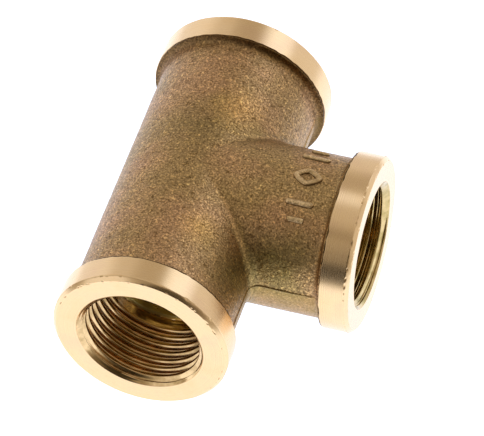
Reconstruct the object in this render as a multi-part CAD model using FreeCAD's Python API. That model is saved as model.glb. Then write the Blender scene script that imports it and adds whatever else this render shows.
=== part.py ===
import FreeCAD, Part

# Equal female tee fitting with three G 3/8 ports, in millimetres.
#
# The run lies along Y, from the front port at -Y to the rear port at +Y. The branch port faces +X.
# The origin is the crossing of the run axis and the branch axis, and +Z is square to both of them.
#
# The fitting is one brass casting. It is divided into the zones that are made in different ways: the
# cast skin, the turned collars, the tapped ports and the raised cast mark. The zones meet face to face.
#
# Each port is modelled on its own axis, local +Z outward, and then turned to its side of the tee.

import math
import os

Vector = FreeCAD.Vector
Rotation = FreeCAD.Rotation

# Overall size
run_half_length = 24.0  # crossing of the axes to the front and rear end faces
branch_length = 24.0  # crossing of the axes to the branch end face

# G 3/8 thread, 19 turns to the inch, Whitworth form
thread_pitch = 25.4 / 19
thread_angle = 55.0
thread_major_radius = 8.331
thread_crest_height = 0.641  # from the root of the groove to the crest, at the wide end of its tolerance
thread_root_width = thread_pitch / 6
thread_length = 9.7  # end face to the last full turn
tapping_length = 11.0  # end face to the end of the tapping drill's wall
mouth_clearance = 0.12  # the mouth chamfer opens this much wider than the thread's major radius
drill_point_angle = 118.0
groove_overcut = 0.2  # the groove's section reaches this far inside the crest
groove_start_angle = {"front": 0.0, "rear": 130.0, "branch": 32.0}

# Walls and collars
waterway_radius = 7.3
thread_backing = 1.1  # metal that belongs to the tapped zone, behind the thread's root
collar_wall = 3.42  # from the thread's major radius to the turned band
collar_width = 3.8
collar_chamfer = 0.5

# Cast skin
barrel_step = 1.1  # the turned bands stand this far outside the barrel
neck_inset = 0.08  # the neck is this much slimmer than the barrel, so it runs out on the barrel's crown
saddle_fillet = 1.5
rim_depth = 0.1  # the cast rim behind a band lies this far inside it
rim_width = 0.3
rim_fillet = 0.85

# Raised mark on top of the neck: a lozenge ring with bars on both sides of it, round the neck
mark_height = 0.35
mark_setback = 8.6  # branch end face to the middle of the mark
mark_bar_width = 0.8
mark_bars = ((-34.0, 2.4), (-22.0, 3.8), (22.0, 3.8), (34.0, 2.4))  # angle round the neck, length
mark_lozenge_length = 4.2
mark_lozenge_width = 3.2
mark_lozenge_stroke = 0.8

# Derived sizes
thread_minor_radius = thread_major_radius - thread_crest_height
mouth_radius = thread_major_radius + mouth_clearance
seat_radius = thread_major_radius + thread_backing
collar_radius = thread_major_radius + collar_wall
barrel_radius = collar_radius - barrel_step
neck_radius = barrel_radius - neck_inset
rim_radius = collar_radius - rim_depth

# Each port: the turn that takes its local +Z to its side, and its length from the crossing
PORTS = {
    "front": (Rotation(Vector(1, 0, 0), 90), run_half_length),
    "rear": (Rotation(Vector(1, 0, 0), -90), run_half_length),
    "branch": (Rotation(Vector(0, 1, 0), 90), branch_length),
}


def turned(section):
    """Solid of revolution about local Z from a closed list of (radius, height) points."""
    points = [Vector(radius, 0, height) for radius, height in section]
    wire = Part.makePolygon(points + points[:1])
    return Part.Face(wire).revolve(Vector(0, 0, 0), Vector(0, 0, 1), 360)


def on_port(shape, name):
    """A copy of a locally modelled shape, turned to its port."""
    turn, _ = PORTS[name]
    placed = shape.copy()
    placed.Placement = FreeCAD.Placement(Vector(0, 0, 0), turn)
    return placed


def thread_groove(length, start_angle):
    """Helical groove of one port, from the last full turn out past the end face."""
    flank = math.tan(math.radians(thread_angle / 2))
    inner_radius = thread_minor_radius - groove_overcut
    root_half = thread_root_width / 2
    inner_half = root_half + (thread_major_radius - inner_radius) * flank
    section = Part.makePolygon([
        Vector(inner_radius, 0, -inner_half),
        Vector(thread_major_radius, 0, -root_half),
        Vector(thread_major_radius, 0, root_half),
        Vector(inner_radius, 0, inner_half),
        Vector(inner_radius, 0, -inner_half),
    ])
    path = Part.makeLongHelix(thread_pitch, thread_length + thread_pitch, thread_major_radius)
    groove = Part.Wire(path).makePipeShell([section], True, True)
    groove.rotate(Vector(0, 0, 0), Vector(0, 0, 1), start_angle)
    groove.translate(Vector(0, 0, length - thread_length))
    return groove


def thread_zone(length, start_angle):
    """Tapped zone of one port: mouth chamfer, thread and the drill's plain wall behind it."""
    blank = turned([
        (thread_minor_radius, length - tapping_length),
        (seat_radius, length - tapping_length),
        (seat_radius, length - (seat_radius - mouth_radius)),
        (mouth_radius, length),
        (thread_minor_radius, length - (mouth_radius - thread_minor_radius)),
    ])
    return blank.cut(thread_groove(length, start_angle))


def collar_zone(length):
    """Turned collar of one port: end face, edge chamfer and outer band."""
    return turned([
        (mouth_radius, length),
        (seat_radius, length - (seat_radius - mouth_radius)),
        (seat_radius, length - collar_width),
        (collar_radius, length - collar_width),
        (collar_radius, length - collar_chamfer),
        (collar_radius - collar_chamfer, length),
    ])


def cast_shoulder(length, skin_radius):
    """Cast rim behind a collar, with a hollow fillet down to the skin of the barrel or neck."""
    band_end = length - collar_width
    rim_end = band_end - rim_width
    fillet = min(rim_fillet, rim_radius - skin_radius)
    middle = fillet * (1 - math.sqrt(0.5))
    fillet_top = Vector(skin_radius + fillet, 0, rim_end)
    fillet_middle = Vector(skin_radius + middle, 0, rim_end - middle)
    fillet_foot = Vector(skin_radius, 0, rim_end - fillet)
    corners = [
        fillet_foot,
        Vector(seat_radius, 0, rim_end - fillet),
        Vector(seat_radius, 0, band_end),
        Vector(rim_radius, 0, band_end),
        Vector(rim_radius, 0, rim_end),
        fillet_top,
    ]
    edges = [Part.LineSegment(a, b).toShape() for a, b in zip(corners, corners[1:])]
    edges.append(Part.Arc(fillet_top, fillet_middle, fillet_foot).toShape())
    return Part.Face(Part.Wire(edges)).revolve(Vector(0, 0, 0), Vector(0, 0, 1), 360)


def skin_solid():
    """Outer form of the casting between the collars: barrel, neck and the fillet of their saddle."""
    barrel_end = run_half_length - collar_width
    barrel = Part.makeCylinder(barrel_radius, 2 * barrel_end, Vector(0, -barrel_end, 0), Vector(0, 1, 0))
    neck = Part.makeCylinder(neck_radius, branch_length - collar_width, Vector(0, 0, 0), Vector(1, 0, 0))
    joined = barrel.fuse(neck)
    # every other edge of the two cylinders is a circle or a line that is flat in X or in Y
    saddle = [edge for edge in joined.Edges if min(edge.BoundBox.XLength, edge.BoundBox.YLength) > 1]
    return joined.makeFillet(saddle_fillet, saddle)


def port_cut(length):
    """Space that a port's tapped zone and drill point take out of the casting."""
    seat = Part.makeCylinder(seat_radius, tapping_length, Vector(0, 0, length - tapping_length))
    point_depth = thread_minor_radius / math.tan(math.radians(drill_point_angle / 2))
    bottom = length - tapping_length
    drill_point = Part.makeCone(0, thread_minor_radius, point_depth, Vector(0, 0, bottom - point_depth))
    return seat.fuse(drill_point)


def cast_body():
    """Cast zone: skin, shoulders and waterway, with room for the tapped zones."""
    body = skin_solid()
    for name, (_, length) in PORTS.items():
        skin_radius = neck_radius if name == "branch" else barrel_radius
        body = body.fuse(on_port(cast_shoulder(length, skin_radius), name))
    run_end = run_half_length
    body = body.cut(Part.makeCylinder(waterway_radius, 2 * run_end, Vector(0, -run_end, 0), Vector(0, 1, 0)))
    body = body.cut(Part.makeCylinder(waterway_radius, branch_length, Vector(0, 0, 0), Vector(1, 0, 0)))
    for name, (_, length) in PORTS.items():
        body = body.cut(on_port(port_cut(length), name))
    return body.removeSplitter()


def lozenge(length, width):
    """Upright prism on a lozenge that is centred on the mark's place over the neck."""
    middle = branch_length - mark_setback
    corners = [
        Vector(middle - length / 2, 0, 0),
        Vector(middle, -width / 2, 0),
        Vector(middle + length / 2, 0, 0),
        Vector(middle, width / 2, 0),
        Vector(middle - length / 2, 0, 0),
    ]
    return Part.Face(Part.makePolygon(corners)).extrude(Vector(0, 0, collar_radius))


def cast_mark():
    """Raised mark: a lozenge ring and its bars, all standing on the skin of the neck."""
    stroke = mark_lozenge_stroke
    # a stroke of even width takes more off the lozenge's corners than off its sides
    slant = math.hypot(mark_lozenge_length, mark_lozenge_width)
    inner_length = mark_lozenge_length - 2 * stroke * slant / mark_lozenge_width
    inner_width = mark_lozenge_width - 2 * stroke * slant / mark_lozenge_length
    outlines = [lozenge(mark_lozenge_length, mark_lozenge_width).cut(lozenge(inner_length, inner_width))]
    for angle, length in mark_bars:
        start = Vector(branch_length - mark_setback - length / 2, -mark_bar_width / 2, 0)
        bar = Part.makeBox(length, mark_bar_width, collar_radius, start)
        bar.rotate(Vector(0, 0, 0), Vector(1, 0, 0), angle)
        outlines.append(bar)
    around_x = (branch_length, Vector(0, 0, 0), Vector(1, 0, 0))
    layer = Part.makeCylinder(neck_radius + mark_height, *around_x)
    layer = layer.cut(Part.makeCylinder(neck_radius, *around_x))
    return Part.makeCompound([outline.common(layer) for outline in outlines])


def save(name, shape):
    """Write one node's STEP file after a look at its solids."""
    solids = shape.Solids
    for solid in solids:
        if not solid.isValid() or solid.Volume <= 0:
            raise ValueError(name + " has a solid that isn't valid")
    print(name, len(solids), "solids", round(sum(solid.Volume for solid in solids), 1), "mm3")
    shape = solids[0] if len(solids) == 1 else Part.makeCompound(solids)
    shape.exportStep("parts/" + name + ".step")


os.makedirs("parts", exist_ok=True)
save("cast_body", cast_body())
save("cast_mark", cast_mark())
for port, (_, port_length) in PORTS.items():
    save(port + "_collar", on_port(collar_zone(port_length), port))
    save(port + "_thread", on_port(thread_zone(port_length, groove_start_angle[port]), port))
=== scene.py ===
"""Looks of a brass tee fitting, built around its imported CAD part.

One piece stands for each CAD node: the casting, its raised mark, three turned collars and three cut threads.
"""
import math

import bmesh
import bpy
import numpy as np
from mathutils import Matrix, Vector


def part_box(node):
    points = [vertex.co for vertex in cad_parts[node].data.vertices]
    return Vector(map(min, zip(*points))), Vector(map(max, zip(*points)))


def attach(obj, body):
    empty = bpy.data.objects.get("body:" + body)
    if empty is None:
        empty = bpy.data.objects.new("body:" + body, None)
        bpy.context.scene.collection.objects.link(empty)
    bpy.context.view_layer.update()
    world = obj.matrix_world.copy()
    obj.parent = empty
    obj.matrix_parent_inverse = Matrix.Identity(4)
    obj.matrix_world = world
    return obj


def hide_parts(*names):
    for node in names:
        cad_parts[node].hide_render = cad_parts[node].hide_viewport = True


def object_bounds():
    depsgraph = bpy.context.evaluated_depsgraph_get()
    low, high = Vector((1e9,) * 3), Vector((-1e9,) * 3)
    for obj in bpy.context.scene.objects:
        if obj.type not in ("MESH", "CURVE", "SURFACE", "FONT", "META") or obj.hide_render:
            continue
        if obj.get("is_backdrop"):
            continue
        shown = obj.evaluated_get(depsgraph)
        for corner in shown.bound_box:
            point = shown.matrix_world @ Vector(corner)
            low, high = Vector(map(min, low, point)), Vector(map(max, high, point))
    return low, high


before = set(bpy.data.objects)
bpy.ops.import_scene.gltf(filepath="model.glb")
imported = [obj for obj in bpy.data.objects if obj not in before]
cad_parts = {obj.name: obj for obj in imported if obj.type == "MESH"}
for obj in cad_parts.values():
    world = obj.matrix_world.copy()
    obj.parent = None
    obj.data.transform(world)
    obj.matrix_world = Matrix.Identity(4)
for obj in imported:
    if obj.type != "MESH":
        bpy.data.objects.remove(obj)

MM = 0.001
cad_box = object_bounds()

# Sizes that come from the CAD part, in metres
run_half_length = -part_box("front_collar")[0].y
branch_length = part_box("branch_collar")[1].x
collar_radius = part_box("front_collar")[1].z
collar_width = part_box("front_collar")[1].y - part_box("front_collar")[0].y
seat_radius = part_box("front_thread")[1].z
tapping_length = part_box("front_thread")[1].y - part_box("front_thread")[0].y
mark_low, mark_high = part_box("cast_mark")

# Sizes of the design that no box gives, in metres
CREST_RADIUS = 7.69 * MM
THREAD_RADIUS = 8.331 * MM
MOUTH_RADIUS = 8.451 * MM
WATERWAY_RADIUS = 7.3 * MM
BARREL_RADIUS = 10.651 * MM
NECK_RADIUS = 10.571 * MM
RIM_RADIUS = 11.651 * MM
RIM_WIDTH = 0.3 * MM
RIM_FILLET = 0.85 * MM
SADDLE_FILLET = 1.5 * MM
COLLAR_CHAMFER = 0.5 * MM
THREAD_PITCH = 25.4 / 19 * MM
THREAD_LENGTH = 9.7 * MM
THREAD_ANGLE = math.radians(55)
DRILL_POINT_ANGLE = math.radians(118)
THREAD_START = {"front": 0.0, "rear": 130.0, "branch": 32.0}

# Surface detail, in metres
GRAIN_HEIGHT = 0.022 * MM
PARTING_STEP = 0.10 * MM
LATHE_HEIGHT = 0.0011 * MM
EDGE_ROUNDING = 0.03 * MM
MOUTH_BREAK = 0.08 * MM
SKIN_TUCK = 0.3 * MM  # the skin runs this far under the turned bands
BAND_WAVER = 0.09 * MM  # the back edge of a band wanders this far along its axis
ROOT_ROUNDING = 0.16 * MM
CREST_ROUNDING = 0.11 * MM
MOUTH_ROUNDING = 0.04 * MM
MOUTH_RINGS = 0.020 * MM
NICK_DEPTH = 0.12 * MM
CHATTER = 0.010 * MM  # a turned band is out of round by this much, in waves along its edge

# Mesh fineness
SKIN_COLUMNS = 320
SKIN_RUN_ROWS = 84
SKIN_BRANCH_ROWS = 70
WATERWAY_ROWS = 16
THREAD_COLUMNS = 256
COLLAR_COLUMNS = 480
COLLAR_SPACING = 0.052 * MM
WELD_DISTANCE = 0.002 * MM
SHARP_EDGE_ANGLE = math.radians(38)

# View of the object, in metres and degrees
VIEW_AIM = (0.00617, 0.00074, -0.00104)
VIEW_AZIMUTH = 17.70
VIEW_ELEVATION = 48.47
VIEW_ROLL = 1.11
VIEW_DISTANCE = 0.752
VIEW_LENS = 429.3

# Each port: the turn from its own axes, with Z outward, to the object's, and its length
PORTS = {
    "front": (Matrix.Rotation(math.radians(90), 3, "X"), run_half_length),
    "rear": (Matrix.Rotation(math.radians(-90), 3, "X"), run_half_length),
    "branch": (Matrix.Rotation(math.radians(90), 3, "Y"), branch_length),
}


# ---------------------------------------------------------------- numbers and meshes

def smooth_step(value, low, high):
    """0 below low, 1 above high, and a soft change between them."""
    share = np.clip((value - low) / (high - low), 0, 1)
    return share * share * (3 - 2 * share)


def lattice_noise(points, wavelength, seed):
    """Smooth noise of about -1 to 1 on an array of points, with bumps about one wavelength apart."""
    cells = points / wavelength
    corner = np.floor(cells.reshape(-1, 3).min(axis=0)).astype(int)
    size = np.ceil(cells.reshape(-1, 3).max(axis=0)).astype(int) - corner + 2
    lattice = np.random.default_rng(seed).uniform(-1, 1, tuple(size))
    base = np.floor(cells).astype(int)
    share = cells - base
    share = share * share * (3 - 2 * share)
    base = base - corner
    total = np.zeros(points.shape[:-1])
    for step in np.ndindex(2, 2, 2):
        weight = np.ones(points.shape[:-1])
        for axis in range(3):
            weight = weight * (share[..., axis] if step[axis] else 1 - share[..., axis])
        total += weight * lattice[tuple(base[..., axis] + step[axis] for axis in range(3))]
    return total


def line_noise(places, wavelength, seed):
    """Smooth noise of about -1 to 1 along one coordinate."""
    flat = np.stack([places, np.zeros_like(places), np.zeros_like(places)], axis=-1)
    return lattice_noise(flat, wavelength, seed)


def grid_faces(rows, columns, first=0, closed_rows=False):
    """Quads of a grid of vertices whose columns close on themselves; its rows may close too."""
    faces = []
    for row in range(rows if closed_rows else rows - 1):
        here = first + row * columns
        above = first + (row + 1) % rows * columns
        for column in range(columns):
            beside = (column + 1) % columns
            faces.append((here + column, here + beside, above + beside, above + column))
    return faces


def halving_faces(outer, inner, columns):
    """Triangles between a ring of vertices and a ring of half as many."""
    faces = []
    for k in range(columns // 2):
        a, b = inner + k, inner + (k + 1) % (columns // 2)
        p, q, r = (outer + (2 * k + step) % columns for step in range(3))
        faces += [(a, p, q), (a, q, b), (b, q, r)]
    return faces


def make_piece(name, points, faces, materials, nodes):
    """A smooth closed mesh object that rides on the casting and stands for CAD nodes."""
    mesh = bpy.data.meshes.new(name)
    mesh.from_pydata([tuple(point) for point in points], [], faces)
    work = bmesh.new()
    work.from_mesh(mesh)
    bmesh.ops.remove_doubles(work, verts=work.verts, dist=WELD_DISTANCE)
    bmesh.ops.recalc_face_normals(work, faces=work.faces)
    work.to_mesh(mesh)
    work.free()
    mesh.shade_smooth()
    mesh.set_sharp_from_angle(angle=SHARP_EDGE_ANGLE)
    for material in materials:
        mesh.materials.append(material)
    piece = bpy.data.objects.new(name, mesh)
    bpy.context.scene.collection.objects.link(piece)
    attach(piece, "root")
    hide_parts(*nodes)
    return piece


# ---------------------------------------------------------------- cast skin

SKIN_SEARCH = (8.0 * MM, 20.0 * MM)  # the skin lies between these distances from the axes
SEARCH_STEPS = 40
GRAIN_LAYERS = ((0.62 * MM, 1.00, 11), (1.3 * MM, 0.55, 12), (4.5 * MM, 0.80, 13))  # size, share, seed
PARTING_RISE = (-0.03 * MM, 0.05 * MM)  # the lower mould half steps out between these depths
PARTING_FADE = (0.2 * MM, 1.5 * MM)  # the step grows between these distances from a band
FLASH_DEPTH = 0.08 * MM
FLASH_WIDTH = 0.09 * MM
FLASH_SIZE = 2.6 * MM  # length of the stretches in which the flash comes and goes


def flared_radius(plain_radius, from_band):
    """Radius of the skin at a distance behind a turned band: cast rim, hollow fillet, plain skin."""
    fillet = np.clip(from_band - RIM_WIDTH, 0, RIM_FILLET)
    hollow = RIM_FILLET - np.sqrt(RIM_FILLET ** 2 - (RIM_FILLET - fillet) ** 2)
    rim = RIM_RADIUS - plain_radius - RIM_FILLET
    return plain_radius + hollow + rim * (1 - smooth_step(from_band, RIM_WIDTH * 0.5, RIM_WIDTH * 1.6))


def skin_distance(points):
    """How far points are outside the skin: barrel and neck, joined by the saddle's fillet."""
    x, y, z = points[..., 0], points[..., 1], points[..., 2]
    to_run_axis = np.hypot(x, z)
    to_branch_axis = np.hypot(y, z)
    barrel_end = run_half_length - collar_width
    neck_end = branch_length - collar_width
    barrel = to_run_axis - flared_radius(BARREL_RADIUS, barrel_end - np.abs(y))
    neck = to_branch_axis - flared_radius(NECK_RADIUS, neck_end - x)
    # a fillet between two walls whose normals are at an angle with this cosine
    cosine = np.minimum(z * z / (to_run_axis * to_branch_axis), 0.9995)
    barrel_inset = SADDLE_FILLET - barrel
    neck_inset = SADDLE_FILLET - neck
    square = barrel_inset ** 2 + neck_inset ** 2 - 2 * cosine * barrel_inset * neck_inset
    rounded = SADDLE_FILLET - np.sqrt(np.maximum(square, 0) / (1 - cosine ** 2))
    in_fillet = (barrel_inset > cosine * neck_inset) & (neck_inset > cosine * barrel_inset)
    joined = np.where(in_fillet, rounded, np.minimum(barrel, neck))
    return np.where(x > 0, joined, barrel)


def reach_skin(base, direction):
    """Points where rays from base along direction meet the skin."""
    near = np.full(base.shape[:-1], SKIN_SEARCH[0])
    far = np.full(base.shape[:-1], SKIN_SEARCH[1])
    for _ in range(SEARCH_STEPS):
        middle = (near + far) / 2
        outside = skin_distance(base + direction * middle[..., None]) > 0
        far = np.where(outside, middle, far)
        near = np.where(outside, near, middle)
    return base + direction * near[..., None]


def skin_normals(points):
    """Outward directions of the skin, from the slope of its distance."""
    step = 0.01 * MM
    slopes = []
    for axis in np.eye(3):
        slopes.append(skin_distance(points + axis * step) - skin_distance(points - axis * step))
    normals = np.stack(slopes, axis=-1)
    return normals / np.linalg.norm(normals, axis=-1, keepdims=True)


def skin_angles():
    """Angles of the skin's columns, drawn together at the parting line."""
    even = np.arange(SKIN_COLUMNS // 4 + 1) / (SKIN_COLUMNS // 4)
    quarter = (0.12 * even + 0.88 * even ** 1.25) * math.pi / 2
    half = np.concatenate([quarter, math.pi - quarter[-2::-1]])
    return np.concatenate([half, 2 * math.pi - half[-2:0:-1]])


def row_shares(rows):
    """Shares of the way from a band to the saddle, with closer rows at both ends."""
    even = np.linspace(0, 1, rows)
    density = 1 + 2.2 * np.exp(-even / 0.06) + 0.9 * np.exp(-(1 - even) / 0.12)
    share = np.concatenate([[0], np.cumsum((density[1:] + density[:-1]) / 2)])
    # rows crowd where the density is high, so the share is the inverse of its running total
    return np.interp(even, share / share[-1], even)


def tee_grids(angles, run_end, branch_end, run_rows, branch_rows, reach):
    """Front, rear and branch grids of a tee-shaped surface, whose edges meet on the mitre planes.

    reach(base, direction) carries points out from an axis to the surface.
    """
    cosine, sine = np.cos(angles), np.sin(angles)
    zero = np.zeros_like(angles)
    mitre_ray = np.stack([np.abs(cosine), np.abs(cosine), sine], axis=-1)
    mitre = reach(np.zeros_like(mitre_ray), mitre_ray)[..., 1]
    run_mitre = np.where(cosine > 0, mitre, 0)
    grids = []
    for side in (-1, 1):
        y = side * (run_end + row_shares(run_rows)[:, None] * (run_mitre - run_end))
        base = np.stack([np.zeros_like(y), y, np.zeros_like(y)], axis=-1)
        grids.append(reach(base, np.broadcast_to(np.stack([cosine, zero, sine], axis=-1), base.shape)))
    x = branch_end + row_shares(branch_rows)[:, None] * (mitre - branch_end)
    base = np.stack([x, np.zeros_like(x), np.zeros_like(x)], axis=-1)
    grids.append(reach(base, np.broadcast_to(np.stack([zero, cosine, sine], axis=-1), base.shape)))
    return grids


def rough_skin(points):
    """Skin with its cast grain, its slow unevenness and the mismatch of the two mould halves."""
    normals = skin_normals(points)
    height = np.zeros(points.shape[:-1])
    for size, share, seed in GRAIN_LAYERS:
        height += share * lattice_noise(points, size, seed)
    height *= GRAIN_HEIGHT
    below = smooth_step(-points[..., 2], *PARTING_RISE)
    flash = np.exp(-((points[..., 2] + FLASH_DEPTH) / FLASH_WIDTH) ** 2)
    broken = 0.6 + 0.4 * lattice_noise(points, FLASH_SIZE, 14)
    from_band = run_half_length - collar_width - np.maximum(np.abs(points[..., 1]), points[..., 0])
    height += PARTING_STEP * (below + 0.5 * flash * broken) * smooth_step(from_band, *PARTING_FADE)
    return points + normals * height[..., None]


def plain_wall(radius):
    """A reach function for the smooth cylinders of the waterway."""
    def reach(base, direction):
        return base + direction * radius
    return reach


def casting(skin_material, wall_material):
    """The cast body: grained skin outside, smooth waterway inside, seats for the tapped zones."""
    angles = skin_angles()
    columns = len(angles)
    run_end = run_half_length - collar_width + SKIN_TUCK
    branch_end = branch_length - collar_width + SKIN_TUCK
    outer = tee_grids(angles, run_end, branch_end, SKIN_RUN_ROWS, SKIN_BRANCH_ROWS, reach_skin)
    inner_angles = angles[::2]
    drill_depth = (CREST_RADIUS - WATERWAY_RADIUS) / math.tan(DRILL_POINT_ANGLE / 2)
    inner = tee_grids(
        inner_angles,
        run_half_length - tapping_length - drill_depth,
        branch_length - tapping_length - drill_depth,
        WATERWAY_ROWS, WATERWAY_ROWS, plain_wall(WATERWAY_RADIUS))
    points = []
    faces = []
    for grid in outer:
        faces += grid_faces(grid.shape[0], columns, len(points))
        points += list(rough_skin(grid).reshape(-1, 3))
    outer_first = [0, outer[0].shape[0] * columns, 2 * outer[0].shape[0] * columns]
    for k, (grid, end, name) in enumerate(zip(inner, (run_end, run_end, branch_end), PORTS)):
        _, length = PORTS[name]
        rings = []
        for radius, height in (
            (seat_radius, end),
            (seat_radius, length - tapping_length),
            (CREST_RADIUS, length - tapping_length),
        ):
            rings.append(port_ring(inner_angles, radius, height, name))
        first = len(points)
        stack = np.concatenate([np.array(rings), grid])
        faces += halving_faces(outer_first[k], first, columns)
        faces += grid_faces(stack.shape[0], len(inner_angles), first)
        points += list(stack.reshape(-1, 3))
    materials = [skin_material, wall_material]
    mark_inside(make_piece("casting", points, faces, materials, ["cast_body"]))


def port_ring(angles, radius, height, name):
    """A ring of points round a port's axis, at the same angles as the tee's grids use."""
    cosine, sine = radius * np.cos(angles), radius * np.sin(angles)
    along = np.full_like(angles, height)
    if name == "branch":
        return np.stack([along, cosine, sine], axis=-1)
    side = -1 if name == "front" else 1
    return np.stack([cosine, side * along, sine], axis=-1)


def mark_inside(piece):
    """Gives the faces of the seats and the waterway the second material."""
    middle_radius = (seat_radius + BARREL_RADIUS) / 2
    for face in piece.data.polygons:
        x, y, z = face.center
        if math.hypot(x, z) < middle_radius and math.hypot(y, z) < middle_radius:
            face.material_index = 1
        elif math.hypot(y, z) < middle_radius and x > BARREL_RADIUS:
            face.material_index = 1
        elif math.hypot(x, z) < middle_radius and abs(y) > BARREL_RADIUS:
            face.material_index = 1


# ---------------------------------------------------------------- turned collars

BAND_LIP = 0.2 * MM  # the band's back face reaches this far in before the skin covers it
BACK_REACH = 0.5 * MM  # the wavering of a band's back edge is gone this far in front of it
NICK_REACH = 0.10 * MM
NICK_SIZE = 0.38 * MM
NICK_FLOOR = 0.38  # noise lower than this leaves no nick
NICK_GAIN = 2.6
WEAR_SIZE = 1.4 * MM
WEAR_SHARE = 0.12


def rounded_path(corners, rounding, spacing):
    """Points along a path of (radius, height) corners, with small arcs in place of the corners.

    Each corner but the first and last is rounded. Points on the runs are about one spacing apart.
    """
    corners = [np.array(corner) for corner in corners]
    path = []
    start = corners[0]
    for k in range(1, len(corners)):
        end = corners[k]
        direction = (end - corners[k - 1]) / np.linalg.norm(end - corners[k - 1])
        last = k == len(corners) - 1
        stop = end if last else end - direction * rounding
        count = max(2, int(np.linalg.norm(stop - start) / spacing) + 1)
        path += [start + (stop - start) * share for share in np.linspace(0, 1, count)]
        if not last:
            onward = (corners[k + 1] - end) / np.linalg.norm(corners[k + 1] - end)
            leave = end + onward * rounding
            for share in (0.25, 0.5, 0.75):
                rest = 1 - share
                path.append(rest ** 2 * stop + 2 * share * rest * end + share ** 2 * leave)
            start = leave
    return np.array(path)


def turned_points(section, angles, turn):
    """Points of a surface of revolution, from (radius, height) rows, turned to its port."""
    radius = section[..., 0]
    height = section[..., 1]
    local = np.stack([radius * np.cos(angles), radius * np.sin(angles), height], axis=-1)
    return local @ np.array(turn).T


def lathe_marks(path, seed):
    """Small inward grooves along a turned path, as a tool leaves them."""
    along = np.concatenate([[0], np.cumsum(np.linalg.norm(np.diff(path, axis=0), axis=1))])
    marks = 0.6 * line_noise(along, 0.15 * MM, seed) + 0.4 * line_noise(along, 0.34 * MM, seed + 1)
    return LATHE_HEIGHT * (1 + marks)


def nicked(points, length, section, seed):
    """Small dents where the edges of a collar's chamfer were knocked."""
    edges = ((collar_radius - COLLAR_CHAMFER, length), (collar_radius, length - COLLAR_CHAMFER))
    nearness = 0
    for radius, height in edges:
        gap = np.hypot(section[..., 0] - radius, section[..., 1] - height)
        nearness = nearness + np.exp(-(gap / NICK_REACH) ** 2)
    knocks = np.clip(lattice_noise(points, NICK_SIZE, seed) - NICK_FLOOR, 0, 1)
    wear = WEAR_SHARE + WEAR_SHARE * lattice_noise(points, WEAR_SIZE, seed + 1)
    dent = NICK_DEPTH * nearness * (knocks * NICK_GAIN + wear)
    reach = np.linalg.norm(points, axis=-1, keepdims=True)
    return points * (1 - dent[..., None] / reach)


def collar(name, seed, material):
    """A turned collar: end face, chamfers, outer band, and the wavering edge where the skin begins."""
    turn, length = PORTS[name]
    band_end = length - collar_width
    visible = rounded_path([
        (MOUTH_RADIUS, length - MOUTH_BREAK),
        (MOUTH_RADIUS + MOUTH_BREAK, length),
        (collar_radius - COLLAR_CHAMFER, length),
        (collar_radius, length - COLLAR_CHAMFER),
        (collar_radius, band_end),
        (collar_radius - BAND_LIP, band_end),
    ], EDGE_ROUNDING, COLLAR_SPACING)
    slope = np.gradient(visible, axis=0)
    outward = np.stack([-slope[:, 1], slope[:, 0]], axis=-1)
    outward /= np.linalg.norm(outward, axis=1, keepdims=True)
    visible = visible - outward * lathe_marks(visible, seed)[:, None]
    hidden = np.array([
        (seat_radius, band_end),
        (seat_radius, length - (seat_radius - MOUTH_RADIUS)),
    ])
    path = np.concatenate([visible, hidden])
    angles = np.arange(COLLAR_COLUMNS) / COLLAR_COLUMNS * 2 * math.pi
    section = np.repeat(path[:, None, :], COLLAR_COLUMNS, axis=1)
    at_back = smooth_step(-section[..., 1], -(band_end + BACK_REACH), -band_end)
    circle = np.stack([np.cos(angles), np.sin(angles), np.zeros_like(angles)], axis=-1) * collar_radius
    waver = lattice_noise(circle, 0.8 * MM, seed + 2) + 0.5 * lattice_noise(circle, 4.0 * MM, seed + 3)
    section[..., 1] += at_back * BAND_WAVER * waver[None, :] * (section[..., 0] > seat_radius * 1.01)
    on_band = smooth_step(section[..., 0], collar_radius - 0.3 * MM, collar_radius)
    section[..., 0] -= CHATTER * on_band * (1 + lattice_noise(circle, 1.5 * MM, seed + 5))[None, :]
    points = turned_points(section, angles, turn)
    points = nicked(points, length, section, seed + 4).reshape(-1, 3)
    faces = grid_faces(len(path), COLLAR_COLUMNS, closed_rows=True)
    make_piece(name + "_turned_collar", points, faces, [material], [name + "_collar"])


# ---------------------------------------------------------------- cut threads

# Places of the mesh rows in half a turn of the thread, as shares of the pitch from the groove's middle
ROW_PHASES = (0.02, 0.05, 0.08, 0.11, 0.15, 0.20, 0.25, 0.29, 0.32, 0.35, 0.38, 0.42, 0.46)
START_TURNS = (-0.4, 0.2)  # the groove reaches its full depth between these turns
END_FADE = 0.2 * MM  # the tool marks fade out this near to the ends of the bore
MARK_SIZE = 0.13 * MM
RING_SIZE = 0.17 * MM
RING_FADE = (1.1 * MM, 0.7 * MM)  # the mouth's rings grow between these depths below the face


def soft_max(first, second, rounding):
    """The larger of two values, with a rounded change from one to the other."""
    return (first + second + np.sqrt((first - second) ** 2 + rounding ** 2)) / 2


def thread_radius(angle, height, length, start):
    """Radius of a port's wall: 55 degree groove with rounded crests and root, and the mouth's chamfer."""
    turns = (height - (length - THREAD_LENGTH)) / THREAD_PITCH - (angle - start) / (2 * math.pi)
    from_groove = np.abs(turns - np.round(turns)) * THREAD_PITCH
    flank = THREAD_RADIUS + (THREAD_PITCH / 12 - from_groove) / math.tan(THREAD_ANGLE / 2)
    groove = -soft_max(-flank, -THREAD_RADIUS, ROOT_ROUNDING)
    # the tap's first teeth cut the shallowest
    cut_turns = np.round(turns) + (angle - start) / (2 * math.pi)
    groove = CREST_RADIUS + (groove - CREST_RADIUS) * smooth_step(cut_turns, *START_TURNS)
    wall = soft_max(groove, CREST_RADIUS, CREST_ROUNDING)
    return soft_max(wall, MOUTH_RADIUS - (length - height), MOUTH_ROUNDING)


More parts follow.
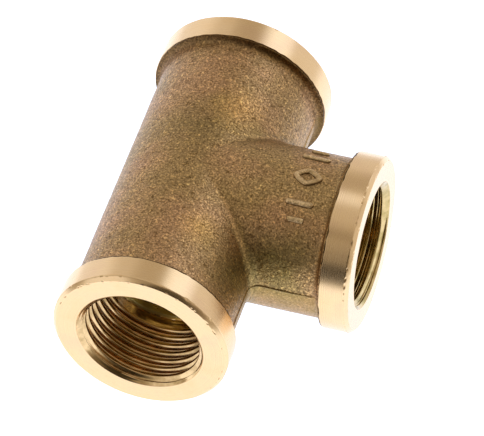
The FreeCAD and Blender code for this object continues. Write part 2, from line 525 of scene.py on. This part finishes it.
def helix_faces(rows, per_turn):
    """Quads of a grid whose rows climb one turn on the way round, so its last column meets a later row."""
    faces = []
    for row in range(rows - 1):
        for column in range(THREAD_COLUMNS):
            beside, lift = (column + 1, 0) if column + 1 < THREAD_COLUMNS else (0, per_turn)
            if row + 1 + lift < rows:
                here = row * THREAD_COLUMNS + column
                there = (row + lift) * THREAD_COLUMNS + beside
                faces.append((here, there, there + THREAD_COLUMNS, here + THREAD_COLUMNS))
    return faces


def tool_marks(angle, climb, height, length, seed):
    """Fine relief of the cut wall: chatter along the thread, and rings on the mouth's chamfer."""
    inside = smooth_step(height, length - tapping_length, length - tapping_length + END_FADE)
    inside = inside * smooth_step(length - height, 0, END_FADE)
    # the noise runs along the helix, and a radian of it is 0.9 mm long
    along = np.stack([climb * THREAD_PITCH, angle * 0.9 * MM, 0 * angle], axis=-1)
    rings = smooth_step(height, length - RING_FADE[0], length - RING_FADE[1])
    marks = LATHE_HEIGHT * inside * lattice_noise(along, MARK_SIZE, seed)
    return marks, MOUTH_RINGS * rings * inside * line_noise(height, RING_SIZE, seed + 1)


def thread(name, seed, material):
    """A tapped zone: a sleeve with the cut thread inside and its plain seat outside.

    The rows of the thread's mesh follow the helix, and the ends of the sleeve cut them off.
    """
    turn, length = PORTS[name]
    start = math.radians(THREAD_START[name])
    bottom = length - tapping_length
    phases = [-share for share in reversed(ROW_PHASES)] + list(ROW_PHASES)
    turns = range(-3, int(THREAD_LENGTH / THREAD_PITCH) + 3)
    climbs = np.array([number + phase for number in turns for phase in phases])
    angles = np.arange(THREAD_COLUMNS) / THREAD_COLUMNS * 2 * math.pi
    angle_grid, climb_grid = np.meshgrid(angles, climbs)
    climb_grid = climb_grid + (angle_grid - start) / (2 * math.pi)
    helix_height = length - THREAD_LENGTH + THREAD_PITCH * climb_grid
    height_grid = np.clip(helix_height, bottom, length)
    radius = thread_radius(angle_grid, height_grid, length, start)
    for marks in tool_marks(angle_grid, climb_grid, height_grid, length, seed):
        radius += marks
    radius = np.where(height_grid >= length, MOUTH_RADIUS, radius)
    radius = np.where(height_grid <= bottom, CREST_RADIUS, radius)
    wall = turned_points(np.stack([radius, height_grid], axis=-1), angles, turn)
    seat = np.array([
        (CREST_RADIUS, bottom),
        (seat_radius, bottom),
        (seat_radius, length - (seat_radius - MOUTH_RADIUS)),
        (MOUTH_RADIUS, length),
    ])
    outside = turned_points(np.repeat(seat[:, None, :], THREAD_COLUMNS, axis=1), angles, turn)
    faces = helix_faces(len(climbs), len(phases))
    faces += grid_faces(len(seat), THREAD_COLUMNS, len(climbs) * THREAD_COLUMNS)
    points = np.concatenate([wall.reshape(-1, 3), outside.reshape(-1, 3)])
    make_piece(name + "_cut_thread", points, faces, [material], [name + "_thread"])


# ---------------------------------------------------------------- raised mark

MARK_MIDDLE = (mark_low.x + mark_high.x) / 2
MARK_HEIGHT = 0.31 * MM
MARK_STROKE = 0.85 * MM
MARK_BARS = ((-34.0, 2.4), (-22.0, 3.8), (22.0, 3.8), (34.0, 2.4))  # angle round the neck, length in mm
MARK_SINK = 0.08 * MM  # the edges of a stroke are this deep in the skin
MARK_ROOT = 0.15 * MM  # the flat underside of a stroke is this deep in the skin
MARK_GRAIN = 1.8  # the mark's grain, as a share of the skin's
MARK_GRAIN_SIZE = 0.45 * MM
BAR_STEPS = 40
BEAD_POINTS = 13
BAR_END_SHARES = (0.35, 0.65, 0.85, 0.97, 1.0)
LOZENGE_LENGTH = 4.2 * MM
LOZENGE_WIDTH = 3.2 * MM
LOZENGE_STEPS = 96
LOZENGE_INSET = 0.62  # the centre line is this share of the stroke inside the lozenge's outline
LOZENGE_POWER = 1.25  # a superellipse with this power is a lozenge with soft corners


def lozenge_line():
    """Closed centre line of the lozenge ring, with rounded corners, as (along, round) places."""
    reach_x = LOZENGE_LENGTH / 2 - MARK_STROKE * LOZENGE_INSET
    reach_y = LOZENGE_WIDTH / 2 - MARK_STROKE * LOZENGE_INSET
    places = []
    for share in np.arange(LOZENGE_STEPS) / LOZENGE_STEPS:
        angle = share * 2 * math.pi
        cosine, sine = math.cos(angle), math.sin(angle)
        size = (abs(cosine) ** LOZENGE_POWER + abs(sine) ** LOZENGE_POWER) ** (-1 / LOZENGE_POWER)
        places.append((MARK_MIDDLE + reach_x * size * cosine, reach_y * size * sine))
    return np.array(places)


def bar_line(angle, length):
    """Centre line of one bar, which lies along the neck."""
    round_neck = math.radians(angle) * NECK_RADIUS
    half = length * MM / 2 - MARK_STROKE / 2
    shares = np.linspace(-1, 1, BAR_STEPS)
    return np.array([(MARK_MIDDLE + half * share, round_neck) for share in shares])


def bead(line, closed):
    """Points and faces of a raised stroke with a domed top, on a centre line laid on the neck."""
    along = np.roll(line, -1, axis=0) - np.roll(line, 1, axis=0)
    if not closed:
        along = np.gradient(line, axis=0)
    along /= np.linalg.norm(along, axis=1, keepdims=True)
    side = np.stack([-along[:, 1], along[:, 0]], axis=-1)
    across = np.linspace(-1, 1, BEAD_POINTS)
    dome = (1 - np.abs(across) ** 2.6) ** 0.6
    rows = []
    widths = [(place, offset, 1.0) for place, offset in zip(line, side)]
    if not closed:
        # the ends are half round: the stroke narrows over half its width
        for share in BAR_END_SHARES:
            narrow = math.sqrt(max(1 - share ** 2, 0.0004))
            reach = share * MARK_STROKE / 2
            widths.insert(0, (line[0] - along[0] * reach, side[0], narrow))
            widths.append((line[-1] + along[-1] * reach, side[-1], narrow))
    for place, offset, narrow in widths:
        for share, rise in zip(across, dome):
            x, round_neck = place + offset * share * narrow * MARK_STROKE / 2
            lift = (MARK_HEIGHT + MARK_SINK) * rise * narrow ** 0.5
            rows.append((x, round_neck, NECK_RADIUS - MARK_SINK + lift))
        for share in (0.5, -0.5):
            x, round_neck = place + offset * share * narrow * MARK_STROKE / 2
            rows.append((x, round_neck, NECK_RADIUS - MARK_ROOT))
    rows = np.array(rows)
    turn = rows[:, 1] / NECK_RADIUS
    points = np.stack([rows[:, 0], rows[:, 2] * np.sin(turn), rows[:, 2] * np.cos(turn)], axis=-1)
    ring = BEAD_POINTS + 2
    faces = grid_faces(len(widths), ring, closed_rows=closed)
    if not closed:
        faces.append(tuple(range(ring)))
        faces.append(tuple(range(len(points) - ring, len(points))))
    return points, faces


def raised_mark(material):
    """The cast mark: a lozenge ring and two bars on each side of it, with the grain of the skin."""
    points = []
    faces = []
    beads = [bead(lozenge_line(), True)]
    beads += [bead(bar_line(angle, length), False) for angle, length in MARK_BARS]
    for bead_points, bead_faces in beads:
        faces += [tuple(len(points) + corner for corner in face) for face in bead_faces]
        points += list(bead_points)
    points = np.array(points)
    rise = GRAIN_HEIGHT * MARK_GRAIN * lattice_noise(points, MARK_GRAIN_SIZE, 31)
    reach = np.hypot(points[:, 1], points[:, 2])
    points[:, 1:] *= (1 + rise / reach)[:, None]
    make_piece("raised_mark", points, faces, [material], ["cast_mark"])


# ---------------------------------------------------------------- materials

# Spots of the skin in mm, with their reach: painted highlight spots show more gold, painted shade spots,
# dull and olive, are darker
PAINTED_HIGHLIGHT_SPOTS = (((3.5, 9.2, 10.1), 4.6), ((4.3, -11.5, 9.6), 3.4))
PAINTED_SHADE_SPOTS = (
    ((-0.8, 5.4, 10.6), 5.5),
    ((5.5, 7.6, 9.1), 3.2),
    ((8.6, 13.0, 6.2), 6.5),
)
PAINTED_OLIVE_SHADE_SPOTS = (
    ((14.5, -9.9, 3.2), 6.5),
    ((9.6, -13.5, 4.4), 7.5),
)
SPOT_CORE = 0.4 * MM  # a spot is at its full strength this near to its middle
SADDLE_REACH = 5.2 * MM
SADDLE_SIDES = (4.2 * MM, 7.2 * MM)  # the saddle's shade grows between these distances from the run's axis
NECK_START = (11.9 * MM, 12.1 * MM)
HOLLOW_REACH = (1.25 * MM, 0.25 * MM)  # distances behind a band between which the hollow darkens
STEP_REACH = (0.09 * MM, 0.01 * MM)  # the same for the thin dark step at the band
STEP_WANDER = 0.14 * MM
SEAM_HEIGHT = 0.065 * MM
SEAM_WIDTH = (0.015 * MM, 0.065 * MM)
SEAM_WANDER = 0.08 * MM
SEAM_SIDES = (10.9 * MM, 11.8 * MM)  # the seam's painted shadow is clear inside the first and faint outside the second


def add_node(tree, kind, inputs=(), **settings):
    """A new node with its settings and with values or links for its inputs."""
    node = tree.nodes.new(kind)
    for name, value in settings.items():
        setattr(node, name, value)
    for name, value in dict(inputs).items():
        if isinstance(value, bpy.types.NodeSocket):
            tree.links.new(value, node.inputs[name])
        else:
            node.inputs[name].default_value = value
    return node


def noise(tree, vector, scale, detail, roughness):
    """Noise value of a pattern with about scale bumps to the metre."""
    return add_node(tree, "ShaderNodeTexNoise", {
        "Vector": vector, "Scale": scale, "Detail": detail, "Roughness": roughness,
    }).outputs["Fac"]


def ramp(tree, value, stops):
    """Colour ramp from (position, colour) stops."""
    node = add_node(tree, "ShaderNodeValToRGB", {"Fac": value})
    elements = node.color_ramp.elements
    while len(elements) < len(stops):
        elements.new(0.5)
    for element, (position, colour) in zip(elements, stops):
        element.position = position
        element.color = (*colour, 1)
    return node.outputs["Color"]


def mix(tree, share, first, second, blend="MIX"):
    """Mix of two colours."""
    node = add_node(tree, "ShaderNodeMix", data_type="RGBA", blend_type=blend)
    for index, value in ((0, share), (6, first), (7, second)):
        if isinstance(value, bpy.types.NodeSocket):
            tree.links.new(value, node.inputs[index])
        else:
            node.inputs[index].default_value = value if index == 0 else (*value, 1)
    return node.outputs[2]


def math_node(tree, operation, first, second=0.0):
    """Result of a sum on values or links."""
    return add_node(tree, "ShaderNodeMath", {0: first, 1: second}, operation=operation).outputs[0]


def map_range(tree, value, low, high, to_low, to_high):
    """value carried from one range to another."""
    return add_node(tree, "ShaderNodeMapRange", {
        "Value": value, "From Min": low, "From Max": high, "To Min": to_low, "To Max": to_high,
    }).outputs["Result"]


def new_metal(name):
    """A metallic material: its tree, its shader and the object coordinates."""
    material = bpy.data.materials.new(name)
    material.use_nodes = True
    tree = material.node_tree
    shader = next(node for node in tree.nodes if node.type == "BSDF_PRINCIPLED")
    shader.inputs["Metallic"].default_value = 1.0
    place = add_node(tree, "ShaderNodeTexCoord").outputs["Object"]
    return material, tree, shader, place


def bump(tree, shader, height, distance, strength):
    """Fine relief on a shader."""
    settings = {"Height": height, "Distance": distance, "Strength": strength}
    node = add_node(tree, "ShaderNodeBump", settings)
    tree.links.new(node.outputs["Normal"], shader.inputs["Normal"])


def saddle_shade(tree, parts):
    """Painted shade of the saddle: dark on both sides of its fillet, and a painted highlight a little bright
    in the middle of it.
    """
    squares = [math_node(tree, "MULTIPLY", parts[name], parts[name]) for name in "XY"]
    apart = math_node(tree, "ABSOLUTE", math_node(tree, "SUBTRACT", *squares))
    share = map_range(tree, apart, 0.0, SADDLE_REACH ** 2, 0.0, 1.0)
    shade = ramp(tree, share, [
        (0.0, (1.10, 1.10, 1.08)),
        (0.16, (1.02, 1.02, 1.00)),
        (0.36, (0.80, 0.82, 0.77)),
        (1.0, (1.0, 1.0, 1.0)),
    ])
    sides = map_range(tree, parts["X"], *SADDLE_SIDES, 0.0, 1.0)
    return mix(tree, sides, (1.0, 1.0, 1.0), shade)


def band_edge_shade(tree, place, parts):
    """Shade of the hollow behind a band, weaker on the neck, and of the thin ragged step at the band."""
    along = math_node(tree, "MAXIMUM", math_node(tree, "ABSOLUTE", parts["Y"]), parts["X"])
    ragged = math_node(tree, "MULTIPLY", noise(tree, place, 1700, 2.0, 0.6), STEP_WANDER)
    end = run_half_length - collar_width
    hollow = map_range(tree, along, end - HOLLOW_REACH[0], end - HOLLOW_REACH[1], 0.0, 1.0)
    ragged_along = math_node(tree, "ADD", along, ragged)
    step = map_range(tree, ragged_along, end - STEP_REACH[0], end - STEP_REACH[1], 0.0, 1.0)
    neck = map_range(tree, parts["X"], *NECK_START, 0.0, 1.0)
    hollow_colour = mix(tree, neck, (0.34, 0.32, 0.25), (0.84, 0.82, 0.74))
    shade = mix(tree, hollow, (1.0, 1.0, 1.0), hollow_colour)
    return mix(tree, step, shade, (0.24, 0.21, 0.15))


def seam_shadow_share(tree, place, parts):
    """1 on the line where the mould halves met, with a painted shadow in the crease of their step; clear
    along the neck and faint along the barrel.
    """
    wander = math_node(tree, "MULTIPLY", noise(tree, place, 700, 2.0, 0.5), SEAM_WANDER)
    height = math_node(tree, "SUBTRACT", math_node(tree, "ADD", parts["Z"], wander), SEAM_HEIGHT)
    line = map_range(tree, math_node(tree, "ABSOLUTE", height), *SEAM_WIDTH, 1.0, 0.0)
    side = map_range(tree, math_node(tree, "ABSOLUTE", parts["Y"]), *SEAM_SIDES, 1.0, 0.15)
    return math_node(tree, "MULTIPLY", line, side)


def spot_share(tree, place, spots):
    """1 in the middle of each (place, reach) spot, falling to 0 at its reach."""
    total = 0.0
    for spot, reach in spots:
        middle = tuple(part * MM for part in spot)
        away = add_node(tree, "ShaderNodeVectorMath", {0: place, 1: middle}, operation="DISTANCE")
        share = map_range(tree, away.outputs["Value"], SPOT_CORE, reach * MM, 1.0, 0.0)
        total = math_node(tree, "ADD", share, total)
    return total


def skin_grain(tree, place):
    """Colour factor and height of the blasted grain, and the noise of its finest grains."""
    grains = noise(tree, place, 4300, 2.0, 0.6)
    specks = noise(tree, place, 2300, 2.0, 0.5)
    pits = noise(tree, place, 1250, 2.0, 0.6)
    grain = ramp(tree, grains, [
        (0.32, (0.46, 0.44, 0.38)),
        (0.46, (0.88, 0.88, 0.85)),
        (0.56, (1.05, 1.05, 1.02)),
        (0.70, (1.90, 1.86, 1.70)),
    ])
    fleck = ramp(tree, specks, [(0.58, (1.0, 1.0, 1.0)), (0.72, (1.7, 1.68, 1.55))])
    dark = ramp(tree, pits, [(0.28, (0.55, 0.52, 0.44)), (0.42, (1.0, 1.0, 1.0))])
    factor = mix(tree, 1.0, mix(tree, 1.0, grain, fleck, "MULTIPLY"), dark, "MULTIPLY")
    height = math_node(tree, "ADD", grains, math_node(tree, "MULTIPLY", specks, 1.2))
    return factor, math_node(tree, "ADD", height, math_node(tree, "MULTIPLY", pits, 0.9)), grains


def cast_brass():
    """Shot-blasted cast skin: bronze brown with gold and dark grains, and a smoother lower mould half."""
    material, tree, shader, place = new_metal("cast_brass")
    parts = add_node(tree, "ShaderNodeSeparateXYZ", {"Vector": place}).outputs
    base = ramp(tree, noise(tree, place, 130, 3.0, 0.5), [
        (0.38, (0.410, 0.256, 0.103)),
        (0.50, (0.450, 0.268, 0.116)),
        (0.62, (0.475, 0.272, 0.127)),
    ])
    factor, relief, grains = skin_grain(tree, place)
    lower = map_range(tree, parts["Z"], 0.03 * MM, -0.05 * MM, 0.0, 1.0)
    calm = mix(tree, math_node(tree, "MULTIPLY", lower, 0.5), factor, (1.0, 1.05, 0.68))
    colour = mix(tree, 1.0, base, calm, "MULTIPLY")
    # painted highlights and painted shade, laid on the skin's colour in spots
    for spots, tint in (
        (PAINTED_HIGHLIGHT_SPOTS, (1.24, 1.20, 0.92)),
        (PAINTED_SHADE_SPOTS, (0.80, 0.83, 0.80)),
        (PAINTED_OLIVE_SHADE_SPOTS, (0.69, 0.82, 0.64)),
    ):
        tinted = mix(tree, 1.0, colour, tint, "MULTIPLY")
        colour = mix(tree, spot_share(tree, place, spots), colour, tinted)
    colour = mix(tree, 1.0, colour, saddle_shade(tree, parts), "MULTIPLY")
    colour = mix(tree, 1.0, colour, band_edge_shade(tree, place, parts), "MULTIPLY")
    # painted shadow along the parting line, in the crease of the step between the mould halves
    seam_shadow = mix(tree, 1.0, colour, (0.42, 0.37, 0.28), "MULTIPLY")
    colour = mix(tree, seam_shadow_share(tree, place, parts), colour, seam_shadow)
    tree.links.new(colour, shader.inputs["Base Color"])
    tree.links.new(map_range(tree, grains, 0.3, 0.7, 0.52, 0.36), shader.inputs["Roughness"])
    less = map_range(tree, lower, 0.0, 1.0, 1.0, 0.6)
    bump(tree, shader, math_node(tree, "MULTIPLY", relief, less), 0.055 * MM, 0.8)
    return material


def mark_brass():
    """Raised mark: tops lighter and smoother than the skin, partly rubbed and partly a painted highlight,
    with painted shadow at the feet.
    """
    material, tree, shader, place = new_metal("mark_brass")
    factor, relief, grains = skin_grain(tree, place)
    calm = mix(tree, 0.5, factor, (1.0, 1.0, 1.0))
    # the lighter base is partly rubbed metal and partly a painted highlight on the strokes
    base = ramp(tree, noise(tree, place, 420, 3.0, 0.6), [
        (0.36, (0.56, 0.37, 0.17)),
        (0.62, (0.80, 0.56, 0.29)),
    ])
    parts = add_node(tree, "ShaderNodeSeparateXYZ", {"Vector": place}).outputs
    squares = [math_node(tree, "MULTIPLY", parts[name], parts[name]) for name in "YZ"]
    from_axis = math_node(tree, "SQRT", math_node(tree, "ADD", *squares))
    # painted shadow, dark brown, at the feet of the strokes, lifting towards their tops
    rise = map_range(tree, from_axis, NECK_RADIUS + 0.04 * MM, NECK_RADIUS + 0.24 * MM, 0.0, 1.0)
    colour = mix(tree, rise, (0.16, 0.10, 0.04), mix(tree, 1.0, base, calm, "MULTIPLY"))
    tree.links.new(colour, shader.inputs["Base Color"])
    tree.links.new(map_range(tree, grains, 0.3, 0.7, 0.46, 0.32), shader.inputs["Roughness"])
    bump(tree, shader, relief, 0.03 * MM, 0.7)
    return material


def waterway_brass():
    """Wall of the waterway: smooth, with dull olive staining."""
    material, tree, shader, place = new_metal("waterway_brass")
    stain = noise(tree, place, 260, 3.0, 0.6)
    colour = ramp(tree, stain, [(0.35, (0.40, 0.31, 0.08)), (0.65, (0.62, 0.48, 0.17))])
    tree.links.new(colour, shader.inputs["Base Color"])
    tree.links.new(map_range(tree, stain, 0.3, 0.7, 0.40, 0.25), shader.inputs["Roughness"])
    bump(tree, shader, noise(tree, place, 1800, 2.0, 0.5), 0.01 * MM, 0.5)
    return material


def lathe_coordinate(tree, place, axis):
    """A coordinate that only changes along a turned profile, so that patterns on it are rings."""
    parts = add_node(tree, "ShaderNodeSeparateXYZ", {"Vector": place}).outputs
    others = [parts[name] for name in "XYZ" if name != axis]
    squares = [math_node(tree, "MULTIPLY", part, part) for part in others]
    radius = math_node(tree, "SQRT", math_node(tree, "ADD", *squares))
    return math_node(tree, "ADD", math_node(tree, "ABSOLUTE", parts[axis]), radius)


def turned_brass(name, axis):
    """Lathe-turned brass: fine rings and faint rosy and pale tarnish."""
    material, tree, shader, place = new_metal(name)
    along = lathe_coordinate(tree, place, axis)
    rings = add_node(tree, "ShaderNodeTexNoise", {
        "W": math_node(tree, "MULTIPLY", along, 9000.0), "Scale": 1.0, "Detail": 3.0, "Roughness": 0.7,
    }, noise_dimensions="1D").outputs["Fac"]
    tarnish = noise(tree, place, 210, 4.0, 0.6)
    colour = ramp(tree, tarnish, [
        (0.34, (0.92, 0.610, 0.300)),
        (0.50, (0.93, 0.635, 0.325)),
        (0.66, (0.90, 0.600, 0.320)),
    ])
    shade = ramp(tree, rings, [(0.30, (0.86, 0.86, 0.86)), (0.60, (1.0, 1.0, 1.0))])
    tree.links.new(mix(tree, 1.0, colour, shade, "MULTIPLY"), shader.inputs["Base Color"])
    tree.links.new(map_range(tree, rings, 0.3, 0.7, 0.30, 0.19), shader.inputs["Roughness"])
    bump(tree, shader, rings, 0.003 * MM, 0.6)
    return material


def thread_brass(name, oiled, clean):
    """Cut thread: bright and a little golden, with oil film in patches of another colour. Darker colours
    given for a port are painted shade.
    """
    material, tree, shader, place = new_metal(name)
    film = noise(tree, place, 500, 3.0, 0.6)
    colour = ramp(tree, film, [(0.34, oiled), (0.62, clean)])
    tree.links.new(colour, shader.inputs["Base Color"])
    tree.links.new(map_range(tree, film, 0.3, 0.7, 0.22, 0.12), shader.inputs["Roughness"])
    bump(tree, shader, noise(tree, place, 5200, 2.0, 0.5), 0.003 * MM, 0.4)
    return material


# ---------------------------------------------------------------- studio

FLOOR_COLOUR = (1.20, 1.33, 1.62)
FLOOR_GLOW = (1.06, 1.19, 1.48)
FLOOR_RADIUS = 0.07
FLOOR_EDGE = (-8, -19)  # elevations between which the studio turns into the floor
SKY_RADIANCE = 0.45
# Panels and dark corners of the studio, the later ones over the earlier ones:
# azimuth from the front (-Y) towards +X, elevation, inner and outer angle, radiance
STUDIO = (
    (180, 5, 25, 75, 0.78),
    (0, 90, 12, 40, 0.62),
    (180, 50, 10, 26, 0.48),
    (130, 5, 12, 26, 0.85),
    (147, 37, 11, 19, 1.30),
    (-130, 6, 14, 28, 0.95),
    (-139, 73, 6, 11, 1.10),
    (-47, 20, 20, 27, 0.95),
    (92, 12, 12, 30, 0.72),
    (-18, 53, 3, 9, 0.28),
    (42, 8, 6, 15, 0.18),
    (16, 22, 18, 30, 0.05),
    (-31, -2, 9, 15, 0.90),
    (-10, 3, 9, 15, 0.02),
)


def panel_colour(radiance):
    """Colour of a panel: dim ones are warm and bright ones are cool."""
    return (radiance, radiance * (0.80 + 0.25 * radiance), radiance * (0.45 + 0.75 * radiance))


def direction(azimuth, elevation):
    """Unit vector to a place in the studio, from degrees."""
    azimuth, elevation = math.radians(azimuth), math.radians(elevation)
    return (
        math.sin(azimuth) * math.cos(elevation),
        -math.cos(azimuth) * math.cos(elevation),
        math.sin(elevation),
    )


def soft_share(tree, value, low, high):
    """0 at low, 1 at high and a soft change between them, as a node."""
    inputs = {"Value": value, "From Min": low, "From Max": high}
    node = add_node(tree, "ShaderNodeMapRange", inputs, interpolation_type="SMOOTHSTEP")
    return node.outputs["Result"]


def studio_light():
    """World light: soft panels over a white table, dark towards the front. The camera sees plain white."""
    world = bpy.data.worlds.new("studio")
    bpy.context.scene.world = world
    world.use_nodes = True
    tree = world.node_tree
    tree.nodes.clear()
    ray = add_node(tree, "ShaderNodeTexCoord").outputs["Generated"]
    colour = None
    sky = panel_colour(SKY_RADIANCE)
    for azimuth, elevation, inner, outer, radiance in STUDIO:
        facing = add_node(tree, "ShaderNodeVectorMath", {0: ray, 1: direction(azimuth, elevation)},
                          operation="DOT_PRODUCT").outputs["Value"]
        outer, inner = (math.cos(math.radians(angle)) for angle in (outer, inner))
        share = soft_share(tree, facing, outer, inner)
        colour = mix(tree, share, sky if colour is None else colour, panel_colour(radiance))
    height = add_node(tree, "ShaderNodeSeparateXYZ", {"Vector": ray}).outputs["Z"]
    below = soft_share(tree, height, *(math.sin(math.radians(angle)) for angle in FLOOR_EDGE))
    colour = mix(tree, below, colour, FLOOR_COLOUR)
    seen = add_node(tree, "ShaderNodeLightPath").outputs["Is Camera Ray"]
    colour = mix(tree, seen, colour, (1.0, 1.0, 1.0))
    background = add_node(tree, "ShaderNodeBackground", {"Color": colour, "Strength": 1.0})
    output = add_node(tree, "ShaderNodeOutputWorld")
    tree.links.new(background.outputs[0], output.inputs["Surface"])


def floor():
    """Round white table top under the fitting, which glows softly like a light table."""
    mesh = bpy.data.meshes.new("floor")
    work = bmesh.new()
    bmesh.ops.create_circle(work, cap_ends=True, segments=96, radius=FLOOR_RADIUS)
    work.to_mesh(mesh)
    work.free()
    table = bpy.data.objects.new("floor", mesh)
    table.location = (0, 0, cad_box[0][2])
    bpy.context.scene.collection.objects.link(table)
    material = bpy.data.materials.new("floor")
    material.use_nodes = True
    shader = next(node for node in material.node_tree.nodes if node.type == "BSDF_PRINCIPLED")
    shader.inputs["Base Color"].default_value = (0.4, 0.4, 0.4, 1)
    shader.inputs["Roughness"].default_value = 0.9
    shader.inputs["Specular IOR Level"].default_value = 0.1
    shader.inputs["Emission Color"].default_value = (*FLOOR_GLOW, 1)
    shader.inputs["Emission Strength"].default_value = 1.0
    mesh.materials.append(material)
    table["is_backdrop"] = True


def camera():
    """Long lens, looking down at the fitting from the front right."""
    azimuth, elevation, roll = (math.radians(a) for a in (VIEW_AZIMUTH, VIEW_ELEVATION, VIEW_ROLL))
    forward = Vector((
        -math.sin(azimuth) * math.cos(elevation),
        math.cos(azimuth) * math.cos(elevation),
        -math.sin(elevation),
    ))
    level = Vector((math.cos(azimuth), math.sin(azimuth), 0))
    right = level * math.cos(roll) + forward.cross(level) * math.sin(roll)
    up = right.cross(forward)
    data = bpy.data.cameras.new("camera")
    data.lens = VIEW_LENS
    data.sensor_width = 36
    data.sensor_fit = "HORIZONTAL"
    view = bpy.data.objects.new("camera", data)
    view.matrix_world = Matrix((right, up, -forward)).transposed().to_4x4()
    view.location = Vector(VIEW_AIM) - forward * VIEW_DISTANCE
    bpy.context.scene.collection.objects.link(view)
    bpy.context.scene.camera = view


camera()
studio_light()
floor()
bpy.context.scene.view_settings.view_transform = "Standard"

skin = cast_brass()
run_brass = turned_brass("turned_brass_run", "Y")
branch_brass = turned_brass("turned_brass_branch", "X")
run_thread_brass = thread_brass("thread_brass_run", (0.50, 0.32, 0.125), (0.82, 0.55, 0.26))
# the branch's thread colours are darker than the run's: painted shade in the branch bore
painted_shade_branch_thread_brass = thread_brass("thread_brass_branch_painted_shade", (0.40, 0.29, 0.09), (0.70, 0.50, 0.22))
casting(skin, waterway_brass())
raised_mark(mark_brass())
port_brass = {
    "front": (run_brass, run_thread_brass),
    "rear": (run_brass, run_thread_brass),
    "branch": (branch_brass, painted_shade_branch_thread_brass),
}
for seed, (port, (collar_brass, cut_brass)) in enumerate(port_brass.items()):
    collar(port, 100 + 10 * seed, collar_brass)
    thread(port, 200 + 10 * seed, cut_brass)

bpy.context.view_layer.update()
sizes = {"cad": cad_box, "visual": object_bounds()}
{name: [list(corner) for corner in box] for name, box in sizes.items()}
